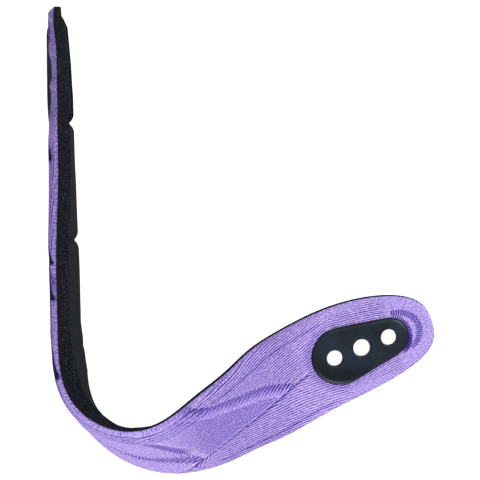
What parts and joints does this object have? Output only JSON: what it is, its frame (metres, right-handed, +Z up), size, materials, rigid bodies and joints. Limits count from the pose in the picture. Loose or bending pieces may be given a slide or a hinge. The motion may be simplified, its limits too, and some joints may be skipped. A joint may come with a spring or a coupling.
{
  "type": "padded wrap strap",
  "caption": "Flexible padded strap with a quilted knit outer side, a smooth dark lining and a moulded plate with through holes at each rounded end, resting half on edge and half flat.",
  "frame": {"origin": "middle of the strap's footprint, on the surface it rests on", "axes": "+Z up; +Y along the straight half of the strap that stands on its long edge, towards its rounded tip; +X towards the half that lies flat with its knitted side up"},
  "size_m": [0.2048, 0.2454, 0.0511],
  "materials": {
    "knit_cover": "ribbed matte knit, lilac",
    "lining": "smooth close knit, charcoal",
    "foam_pad": "closed-cell foam, matte",
    "tension_web": "woven webbing, black",
    "end_plate": "satin moulded elastomer, black",
    "backing_plate": "satin moulded elastomer, black"
  },
  "bodies": {
    "section_1": {"knit_cover_1": "knit_cover", "tension_web_1": "tension_web", "foam_pad_1": "foam_pad", "lining_1": "lining", "end_plate_a": "end_plate", "backing_plate_a": "backing_plate"},
    "section_2": {"knit_cover_2": "knit_cover", "tension_web_2": "tension_web", "foam_pad_2": "foam_pad", "lining_2": "lining"},
    "section_3": {"knit_cover_3": "knit_cover", "tension_web_3": "tension_web", "foam_pad_3": "foam_pad", "lining_3": "lining"},
    "section_4": {"knit_cover_4": "knit_cover", "tension_web_4": "tension_web", "foam_pad_4": "foam_pad", "lining_4": "lining"},
    "section_5": {"knit_cover_5": "knit_cover", "tension_web_5": "tension_web", "foam_pad_5": "foam_pad", "lining_5": "lining"},
    "section_6": {"knit_cover_6": "knit_cover", "tension_web_6": "tension_web", "foam_pad_6": "foam_pad", "lining_6": "lining"},
    "section_7": {"knit_cover_7": "knit_cover", "tension_web_7": "tension_web", "foam_pad_7": "foam_pad", "lining_7": "lining", "end_plate_b": "end_plate", "backing_plate_b": "backing_plate"}
  },
  "joints": [
    {"name": "groove_1", "type": "hinge", "parent": "section_2", "child": "section_1", "pos_m": [-0.09517, 0.05578, 0.02563], "axis": [-0.0436, -0.0011, -0.999], "range_deg": [-20, 22], "stiffness_Nm_per_rad": 0.15},
    {"name": "groove_2", "type": "hinge", "parent": "section_3", "child": "section_2", "pos_m": [-0.09377, 0.0025, 0.02549], "axis": [0.0305, 0.0051, -0.9995], "range_deg": [-20, 22], "stiffness_Nm_per_rad": 0.15},
    {"name": "groove_3", "type": "hinge", "parent": "section_4", "child": "section_3", "pos_m": [-0.09223, -0.05549, 0.02544], "axis": [0.0491, -0.0004, -0.9988], "range_deg": [-20, 22], "stiffness_Nm_per_rad": 0.15},
    {"name": "groove_4", "type": "hinge", "parent": "section_4", "child": "section_5", "pos_m": [-0.06039, -0.10424, 0.02456], "axis": [0.2032, 0.329, 0.9222], "range_deg": [-20, 22], "stiffness_Nm_per_rad": 0.15},
    {"name": "groove_5", "type": "hinge", "parent": "section_5", "child": "section_6", "pos_m": [-0.00582, -0.09257, 0.01754], "axis": [-0.3978, 0.7428, 0.5386], "range_deg": [-20, 22], "stiffness_Nm_per_rad": 0.15},
    {"name": "groove_6", "type": "hinge", "parent": "section_6", "child": "section_7", "pos_m": [0.03466, -0.0674, 0.0077], "axis": [-0.4806, 0.8769, 0], "range_deg": [-20, 22], "stiffness_Nm_per_rad": 0.15}
  ]
}
